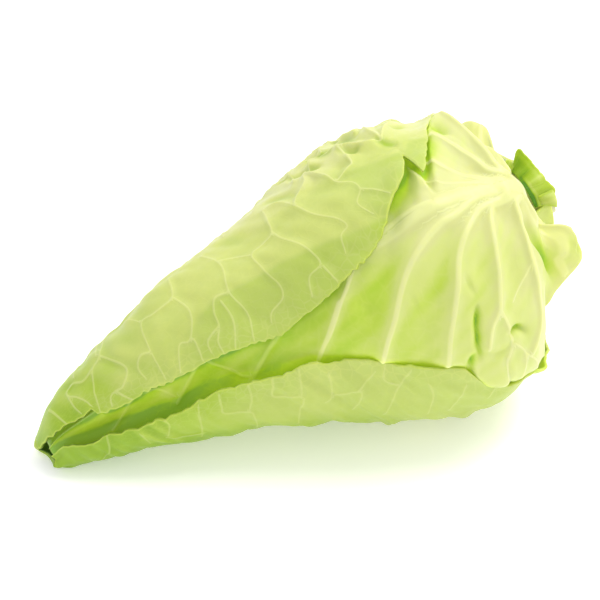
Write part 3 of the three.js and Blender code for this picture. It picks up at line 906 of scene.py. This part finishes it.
def secondShape(look, along, share):
    down = along[:, None]
    size = degreeSize(down)
    low, high = marginOf(look, "low", down), marginOf(look, "high", down)
    angle = low + (high - low) * (share - look["crowding"] * np.sin(2 * math.pi * share))
    arc, around = down * headArc, angle * size
    strokes = [veinStroke(*branch) for branch in look["branches"]]
    strokes.append(veinStroke(look["rib"], *look["ribSize"]))
    veins, relief = drawStrokes(along, angle, strokes)
    near = veins["veinNear"]
    sink = pressed(along, angle, look["valleys"])
    paintedStrokeShade = pressed(along, angle, look["greens"])
    # it swells out through the opening that the outer leaf leaves
    overLow = (angle - smooth(outer["highMargin"], down) + 360) * size
    underTop = (smooth(outer["lowMargin"], down) - angle) * size
    bare = rise(overLow, -6, 5) * zone(down, .1, .19, .45, .62)
    bare = bare * rise(underTop, 1 - 5 * (1 - rise(down, .235, .262)), 4 + 12 * rise(down, .24, .3))
    veinHeight, veinReach = look["veinSwollen"]
    out = bare * (look["swollen"] + veinHeight * hump(near, 0, veinReach)) - smooth(look["depth"], down)
    out = out + relief + sink + bumps(down, angle, look["swells"])
    out = out + wanders(arc, around, look["uneven"]) * rise(down, .08, .16)
    # and it lies deeper under the outer leaf and inside the long gap
    out = out - 2.4 * rise(-underTop, 3, 12) * zone(down, .2, .26, .5, .65)
    out = out - 4.0 * hump(angle, 12, 20) * zone(down, .5, .7, .9, .98)
    for key, edge, column in (("lowOut", low, slice(0, 1)), ("highOut", high, slice(-1, None))):
        lift = smooth(look[key], down) - out[:, column]
        out = out + lift * hump((angle - edge) * size, 0, look["edgeReach"])
    out = out + dents(down, angle)
    fromRib = (angle - smooth(look["rib"], down)) * size
    # painted shade and painted glow: beside and under the outer leaf's margins it is greener, and a glow
    # stands in for light that comes through them
    paintedContactShadeAndGlow = (fading(overLow - 0.4, 1.5) * zone(down, .2, .25, .66, .78)
               + 0.8 * fading(underTop, 2.5) * zone(down, .15, .2, .3, .36))
    paintedUnderShade = (0.5 * fading(underTop, 8) * zone(down, .19, .22, .34, .38)
             + (0.22 + 0.14 * rise(down, .7, .85)) * fading(underTop, 2.6) * rise(down, .5, .65)
             + 0.24 * fading(overLow, 2.8) * rise(down, .66, .78) + 0.14 * paintedContactShadeAndGlow)
    streaks = wander(arc * 0.45 + around * 0.8, around * 0.35 - arc * 0.12, 9, 35)
    # painted shade: greener along the shade strokes and where it sinks
    tone = (smooth(look["tones"], down) + paintedStrokeShade + paintedUnderShade - 0.04 * sink
            + 0.1 * streaks * rise(down, .12, .2) * (1 - 0.5 * rise(down, .32, .42))
            + 0.07 * (1 - rise(angle, 9, 24)) * zone(down, .06, .09, .14, .19)
            - 0.5 * hump(fromRib, 0, 15) * (1 - rise(down, .22, .5))
            - 0.12 * hump(near, 0, 3.5) * (1 - rise(down, .5, .6)))
    # painted glow along the outer leaf's margins and in the long gap
    return {
        "angle": angle, "out": out, "floor": 3.0, "longer": 8.0 * rise(down, .93, .985),
        "thickness": leafThickness(look, fromRib, down),
        "painted": {**veins, "veinPale": 1.0 - 0.8 * rise(down, .48, .62),
                    "marginNear": marginDistance(down, angle, low, high)[0], "tone": tone,
                    "lit": np.minimum(paintedContactShadeAndGlow + 0.1 * rise(down, .48, .6) + 0.5 * rise(down, .62, .72), 1)},
    }


growLeaf("secondLeaf", "second_leaf", second, secondShape,
         leafMaterial("secondLeafSkin", secondPaint))
print("second leaf grown")


# the leaves below, spread either side of their ribs
innerLook = {
    "rows": 120, "columns": 120, "start": 0.014, "keepShare": 1,
    "half": [(0, 42), (.05, 22), (.08, 22), (.12, 72), (.17, 102), (.5, 108), (.75, 95), (.87, 50)],
    "teeth": (0.4, 0.8), "teethFrom": (0.07, 0.1),  # fine and coarse height
    "thickness": 1.2, "ribThicker": 4.5, "ribReach": 8, "ribThins": (0.02, 0.3),
    "ribSize": ((6, 0.8), (3.5, 0.6)), "branchSize": ((1.1, 0.5), (1.0, 0.4)), "branchReach": (100, 100),
    "uneven": (0.4, 25), "lobes": [],
}
inner = {
    "third": {**innerLook, "end": 0.87, "rib": 267, "seed": 41, "tone": 0.85,
              "depth": [(0, 11), (.1, 6.2), (.5, 6.1), (.75, 9), (.9, 9.2)], "floor": 5.9,
              "frontHalf": [(0, 42), (.05, 22), (.08, 20), (.12, 24), (.15, 30), (.168, 40), (.2, 86),
                            (.25, 92), (.4, 84), (.75, 76), (.87, 50)],
              "lobes": [(.205, .03, 303, 12, 3.5)]},
    "fourth": {**innerLook, "end": 0.84, "rib": 129, "seed": 47, "tone": 0.5,
               "depth": [(0, 14.2), (.1, 8.9), (.5, 8.7), (.75, 11.8), (.9, 12)], "floor": 8.6},
}


def innerShape(look, along, share):
    down = along[:, None]
    size = degreeSize(down)
    arc = down * headArc
    ragged = teethOf(arc, look["seed"], *look["teeth"]) / size * rise(down, *look["teethFrom"])
    low = look["rib"] - smooth(look["half"], down) - ragged
    high = look["rib"] + smooth(look.get("frontHalf", look["half"]), down) + ragged
    angle = low + (high - low) * share
    strokes = [veinStroke([(v, look["rib"]) for v in (0, 0.5, look["end"])], *look["ribSize"])]
    for way in (-1, 1):
        strokes += [veinStroke(line, *look["branchSize"])
                    for line in branchNet(look, way, look["branchReach"], look["seed"])]
    veins, relief = drawStrokes(along, angle, strokes)
    height, unevenSize = look["uneven"]
    out = (0.6 * relief - smooth(look["depth"], down) + dents(down, angle) + bumps(down, angle, look["lobes"])
           + height * wander(arc, angle * size, unevenSize, look["seed"]))
    fromRib = (angle - look["rib"]) * size
    return {
        "angle": angle, "out": out, "floor": look["floor"], "thickness": leafThickness(look, fromRib, down),
        "painted": {**veins, "veinPale": 0.8, "marginNear": marginDistance(down, angle, low, high)[0],
                    "tone": look["tone"] - 0.6 * hump(fromRib, 0, 16) * (1 - rise(down, .2, .5))},
    }


innerPaint = leafMaterial("innerLeafSkin", {**leafPaint, "netSize": 180})
for key, node in (("third", "third_leaf"), ("fourth", "fourth_leaf")):
    growLeaf(key + "Leaf", node, inner[key], innerShape, innerPaint)
print("inner leaves grown")

# the heart: a ball drawn out along the head, just under the fourth leaf
heart = {
    "segments": 180, "rings": 110, "start": 0.02, "end": 0.8, "seat": 12.8, "tip": 216,
    "depth": [(0, 17), (.1, 11.9), (.5, 11.7), (.75, 14.8), (.8, 15.8)],
    "uneven": (0.5, 26, 51),    # height, size, seed
    "veinSize": (1.4, 0.7),     # width, height
    "veinWander": (3, 30, 53),  # degrees, size, seed
    "veins": [(-170, 40), (-142, -50), (-112, 60), (-84, -60), (-52, 50), (-24, -40), (8, 50), (40, -50),
              (74, 40), (106, -60), (138, 50), (164, -40)],  # angle at the stalk, how far it turns
    "netSize": 160, "tones": (0.05, 0.4, 0.15),  # at the stalk, more of it further on, less along the veins
}


def growHeart():
    bpy.ops.mesh.primitive_uv_sphere_add(segments=heart["segments"], ring_count=heart["rings"], radius=1)
    ball = bpy.context.object
    ball.name = "heartLeaves"
    places = readPlaces(ball.data)
    fromPole = np.arccos(np.clip(places[:, 2], -1, 1)) / math.pi  # 0 at the tip, 1 at the stalk
    angle = np.degrees(np.arctan2(places[:, 1], places[:, 0]))
    share = np.clip((fromPole * heart["rings"] - 1) / (heart["rings"] - 2), 0, 1)
    along = heart["start"] + (heart["end"] - heart["start"]) * (1 - share)
    arc = along * headArc
    near = np.full(len(along), 20.0)
    degrees, swing, swingSeed = heart["veinWander"]
    for start, turnBy in heart["veins"]:
        line = start + turnBy * along + degrees * wander(arc, 0 * along + start, swing, swingSeed)
        near = np.minimum(near, np.abs((angle - line + 180) % 360 - 180) * degreeSize(along))
    veinWidth, veinHeight = heart["veinSize"]
    height, unevenSize, unevenSeed = heart["uneven"]
    out = (dents(along, angle) - smooth(heart["depth"], along) + veinHeight * hump(near, 0, veinWidth)
           + height * wander(arc, np.radians(angle) * 45, unevenSize, unevenSeed) * rise(along, .05, .15))
    points = headPoint(along, angle, out)
    points[fromPole < 1e-4] = axisAt(heart["tip"])
    points[fromPole > 1 - 1e-4] = axisAt(heart["seat"])
    ball.data.vertices.foreach_set("co", (points * mm).ravel())
    least, further, atVeins = heart["tones"]
    tone = least + further * rise(along, .03, .2) - atVeins * hump(near, 0, 3)
    painted = {"veinSide": near, "veinNear": near, "veinHalf": 0.7, "veinPale": 0.8, "marginNear": 20,
               "lit": 0, "inside": 0, "tone": tone}
    for key, values in painted.items():
        writeValue(ball.data, key, values + 0 * along)
    ball.data.uv_layers[0].name = "leafFlat"
    ball.data.update()
    bpy.ops.object.shade_smooth()
    ball.data.materials.append(leafMaterial("heartSkin", {**leafPaint, "netSize": heart["netSize"]}))
    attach(ball, "root")
    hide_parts("heart")
    bpy.ops.object.select_all(action="DESELECT")


growHeart()
print("heart grown")

# the stalk: a short cut stem with a harder ring under its skin
stalk = {
    "radius": 13, "cut": -5, "top": 12, "sides": 72, "ringRadius": 9.4,
    "insets": (0.5, 1.2, 1.8, 2.2, 2.4, 2.2, 1.6),  # rings of faces on the cut, from its rim inwards
    "rim": (0.9, 11.4, 13.1),  # how far the rim is rounded off, and from which radius to which
    "knife": [(0.25, 5, 61), (0.2, 9, 62)],  # height, size, seed
    "swell": (0.35, 7, 63),
    "skin": rgb(200, 203, 130), "face": rgb(214, 211, 172),
    "ring": rgb(190, 188, 130), "dry": rgb(160, 136, 86),
}


def growStalk():
    length = stalk["top"] - stalk["cut"]
    place = axisAt((stalk["top"] + stalk["cut"]) / 2) * mm
    turn = Vector(-axis).to_track_quat("Z", "Y").to_euler()
    bpy.ops.mesh.primitive_cylinder_add(vertices=stalk["sides"], radius=stalk["radius"] * mm,
                                        depth=length * mm, location=place, rotation=turn)
    stem = bpy.context.object
    stem.name = "stalkStem"
    bpy.ops.object.mode_set(mode="EDIT")
    bpy.ops.mesh.select_all(action="DESELECT")
    bpy.ops.object.mode_set(mode="OBJECT")
    for face in stem.data.polygons:
        face.select = len(face.vertices) > 4
    bpy.ops.object.mode_set(mode="EDIT")
    for inset in stalk["insets"]:
        bpy.ops.mesh.inset(thickness=inset * mm, depth=0)
    bpy.ops.mesh.poke()
    bpy.ops.mesh.select_all(action="SELECT")
    bpy.ops.mesh.subdivide(number_cuts=1)
    bpy.ops.object.mode_set(mode="OBJECT")
    bpy.ops.object.transform_apply(location=True, rotation=True, scale=True)
    mesh = stem.data
    places = readPlaces(mesh) / mm
    distance = (places - seat) @ axis
    side = places - seat - distance[:, None] * axis
    upward, forward = side @ above, side @ front
    radius = np.hypot(upward, forward)
    onFace = distance < stalk["cut"] + 0.01
    # the knife left faint steps, and the rim of the cut is rounded
    (stepHeight, stepSize, stepSeed), (lumpHeight, lumpSize, lumpSeed) = stalk["knife"]
    steps = (stepHeight * wander(upward, forward * 0.2, stepSize, stepSeed)
             + lumpHeight * wander(upward, forward, lumpSize, lumpSeed))
    rimHeight, rimStart, rimEnd = stalk["rim"]
    places = places + np.where(onFace, steps + rimHeight * rise(radius, rimStart, rimEnd), 0)[:, None] * axis
    swellHeight, size, seed = stalk["swell"]
    swell = swellHeight * wander(np.degrees(np.arctan2(upward, forward)) * 0.25, distance, size, seed)
    swell = swell * rise(radius, 11, 13) * np.where(onFace, 0.4, 1)
    places = places + (swell / np.maximum(radius, 1))[:, None] * side
    mesh.vertices.foreach_set("co", (places * mm).ravel())
    writeValue(mesh, "ringDistance", radius)
    writeValue(mesh, "cutFace", onFace.astype(float))
    mesh.update()
    bpy.ops.object.shade_smooth_by_angle(angle=math.radians(50))
    paint = Paint("stalkFlesh")
    ringDistance = paint.written("ringDistance")
    place = paint.add("ShaderNodeTexCoord", output="Object")
    cloud = paint.add("ShaderNodeTexNoise", {}, {"Vector": place, "Scale": 260.0, "Detail": 4.0})
    fine = paint.add("ShaderNodeTexNoise", {}, {"Vector": place, "Scale": 1400.0, "Detail": 2.0})
    fromRing = abs(ringDistance + (cloud - 0.5) * 3.0 - stalk["ringRadius"])
    ring = 1 - paint.between(fromRing, 0.3, 1.3)
    colour = paint.blend(stalk["face"], stalk["ring"], ring * (0.5 + fine * 0.5))
    colour = paint.blend(colour, stalk["dry"], paint.between(cloud, 0.5, 0.75) * 0.35)
    colour = paint.blend(stalk["skin"], colour, paint.written("cutFace"))
    height = cloud + fine * 0.5
    bump = paint.add("ShaderNodeBump", {}, {"Strength": 0.4, "Distance": 0.0005, "Height": height})
    mesh.materials.append(paint.finish({
        "Base Color": colour, "Roughness": 0.55 + (cloud - 0.5) * 0.3, "Normal": bump,
        "Subsurface Weight": 0.15, "Subsurface Radius": (1.0, 1.0, 0.5), "Subsurface Scale": 0.002,
    }))
    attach(stem, "root")
    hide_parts("stalk")
    bpy.ops.object.select_all(action="DESELECT")


growStalk()
print("stalk cut")

# what is left of two torn leaves: the foot of a blade round the stalk, its rolled corner, and a nub
tornLook = {
    "start": 0, "end": 1, "keepShare": 1, "crease": None, "flare": 0, "slant": 0, "curl": 0, "lit": 0.0,
    "creaseSize": (0.4, 1.2),  # height, width
    "thicker": 0.8,            # by this share at the root
}
torn = {  # edge: angle, where the torn edge ends, its radius; root: where the leaf ends, its radius
    "blade": {**tornLook, "node": "torn_leaf_stub", "rows": 46, "columns": 130,
              "angles": (2, 110), "seed": 71,
              "edge": [(2, -2, 17.5), (12, -3.4, 17), (24, -5.2, 17.2), (40, -4.2, 17), (58, -3.4, 16.4),
                       (74, -2.8, 17.6), (90, -2, 19.6), (101, -0.8, 22.4), (105, 0.6, 21), (110, 2.4, 17.8)],
              "root": (6, 14.4), "thickness": 0.9, "crease": 50, "rag": 0.22, "flare": 0.4, "slant": 8,
              "tone": 0.78, "slit": (0.5, 0.02)},  # painted shade: its foot is dark beside the rib
    "corner": {**tornLook, "node": "torn_leaf_stub", "rows": 26, "columns": 40,
               "angles": (0, 26), "seed": 83,
               "edge": [(0, -2.5, 19.5), (8, -3.4, 19.4), (18, -4.2, 18.8), (26, -3.8, 17.6)],
               "root": (3.0, 15.6), "thickness": 0.8, "rag": 0.12, "curl": 1.9, "slant": 9, "tone": 0.2},
    # the foot and the nub get a painted glow, in place of light that comes through them
    "foot": {**tornLook, "node": "torn_leaf_stub", "rows": 26, "columns": 40,
             "angles": (-34, 6), "seed": 91,
             "edge": [(-34, 3, 22.4), (-26, 1.5, 21), (-15, 0, 18.5), (-5, -1, 16.4), (6, -1.4, 15.2)],
             "root": (10, 17.5), "thickness": 1.2, "rag": 0.1, "tone": 0.0, "lit": 0.4},
    "nub": {**tornLook, "node": "small_leaf_stub", "rows": 30, "columns": 60,
            "angles": (100, 165), "seed": 77,
            "edge": [(100, 4.5, 16.2), (112, 3.6, 18.4), (130, 3.8, 19.2), (150, 4.4, 19), (165, 5.4, 17)],
            "root": (9, 14.6), "thickness": 1.2, "rag": 0.1, "curl": 0.8, "tone": 0.3, "lit": 0.2},
}
tornPaint = {
    **leafPaint, "netSize": 260,
    "tones": [(0.0, rgb(206, 210, 134)), (0.35, rgb(182, 200, 86)), (0.65, rgb(160, 186, 36)),
              (0.85, rgb(134, 168, 20)), (1.0, rgb(84, 134, 34))],
}


def tornShape(look, along, share):
    down = along[:, None]  # 0 at the torn edge, 1 at the root
    stops = np.array(look["edge"], float)
    low, high = look["angles"]
    seed = look["seed"]
    angle = low + (high - low) * share
    arc = angle * 0.3  # a degree here is about this many millimetres
    rag = look["rag"] * (wander(arc, 0 * arc, 3.0, seed) + wander(arc, 0 * arc, 6, seed + 1))
    edge, rim = smooth(stops[:, :2], angle) - rag, smooth(stops[:, [0, 2]], angle)
    rootPlace, rootRadius = look["root"]
    distance = edge + (rootPlace - edge) * down
    radius = rim + (rootRadius - rim) * down + look["flare"] * (1 - down) ** 3
    turned = angle + look["slant"] * down * (1 - share) ** 2
    # the blade has a crease, and a rolled bit bulges between its edges
    if look["crease"] is not None:
        height, width = look["creaseSize"]
        radius = radius + height * hump(arc, look["crease"] * 0.3, width) * (1 - rise(down, 0.6, 0.95))
    radius = radius + look["curl"] * (np.sin(math.pi * down) * np.sin(math.pi * share)) ** 0.7
    radius = radius + 0.18 * wander(arc, down * 8, 8, seed + 2)
    tone = look["tone"] + 0.1 * wander(arc, down * 2, 5, seed + 4)
    # painted shade and light: darker at the root of the lower part, paler over the rest of the lower part and
    # in a streak near the torn edge
    if "slit" in look:
        dark, shaded = look["slit"]
        lower = 1 - rise(share, 0.4, 0.7)
        tone = tone + shaded - 0.2 * hump(down, 0.2, 0.12) * rise(share, 0.3, 0.5)
        tone = tone + lower * ((dark + 0.35) * rise(down, 0.78, 0.88) - 0.35 - 0.2 * hump(down, 0.72, 0.05))
    # painted shade along both edges of a rolled piece
    if look["curl"]:
        tone = tone + 0.5 * rise(share, 0.8, 1.0) + 0.4 * (1 - rise(share, 0, 0.15))
    fibre = np.abs((share * 4 + 0.2 * wander(arc, down * 6, 9, 5)) % 1 - 0.5) * 5
    return {
        "points": axisPoint(distance, radius, turned), "angle": angle,
        "thickness": look["thickness"] * (1 + look["thicker"] * down),
        "painted": {"veinSide": fibre, "veinNear": fibre, "veinHalf": 0.2, "veinPale": 0.06,
                    "marginNear": np.minimum(down * 9, np.minimum(share, 1 - share) * (high - low) * 0.3),
                    "tone": tone, "lit": look["lit"]},
    }


tornSkin = leafMaterial("tornLeafSkin", tornPaint)
for key, look in torn.items():
    growLeaf("torn" + key.capitalize(), look["node"], look, tornShape, tornSkin)
print("torn leaves done")

# camera, light and floor

camera = {
    "azimuth": -19.5, "elevation": 31, "distance": 0.766, "lens": 100,
    "aim": (0.0008, 0, -0.0072),  # from the middle of the box
}
middle = (np.array(cadBox[0]) + np.array(cadBox[1])) / 2
middle[1] = 0
aim = middle + np.array(camera["aim"])
turn, lift = math.radians(camera["azimuth"]), math.radians(camera["elevation"])
back = np.array([math.sin(turn) * math.cos(lift), -math.cos(turn) * math.cos(lift), math.sin(lift)])
lens = bpy.data.cameras.new("view")
lens.lens = camera["lens"]
lens.sensor_width = 36
eye = bpy.data.objects.new("view", lens)
eye.location = aim + back * camera["distance"]
eye.rotation_euler = (math.pi / 2 - lift, 0, turn)
bpy.context.scene.collection.objects.link(eye)
bpy.context.scene.camera = eye

studio = {
    "floor": rgb(246, 246, 246), "floorGlow": 0.3, "floorSize": 60.0, "sky": 0.85,
    "lights": [("keyLight", (0.4, -0.1, 0.95), 0.5, 6), ("topLight", (-0.3, 0.5, 0.9), 0.6, 1.5)],
}
bpy.ops.mesh.primitive_plane_add(size=studio["floorSize"], location=(middle[0], 0, 0))
floor = bpy.context.object
floor.name = "floor"
floorPaint = Paint("floorPaint")
floor.data.materials.append(floorPaint.finish({
    "Base Color": studio["floor"], "Roughness": 0.9, "Emission Color": (1, 1, 1, 1),
    "Emission Strength": studio["floorGlow"]}))

world = bpy.data.worlds.new("studio")
world.use_nodes = True
bpy.context.scene.world = world
world.node_tree.nodes["Background"].inputs["Color"].default_value = (1, 1, 1, 1)
world.node_tree.nodes["Background"].inputs["Strength"].default_value = studio["sky"]


def softBox(name, place, size, power):
    light = bpy.data.lights.new(name, "AREA")
    light.energy = power
    light.size = size
    lamp = bpy.data.objects.new(name, light)
    lamp.location = place
    lamp.rotation_euler = Vector(aim - np.array(place)).to_track_quat("-Z", "Y").to_euler()
    bpy.context.scene.collection.objects.link(lamp)


for light in studio["lights"]:
    softBox(*light)
bpy.context.scene.view_settings.view_transform = "Standard"
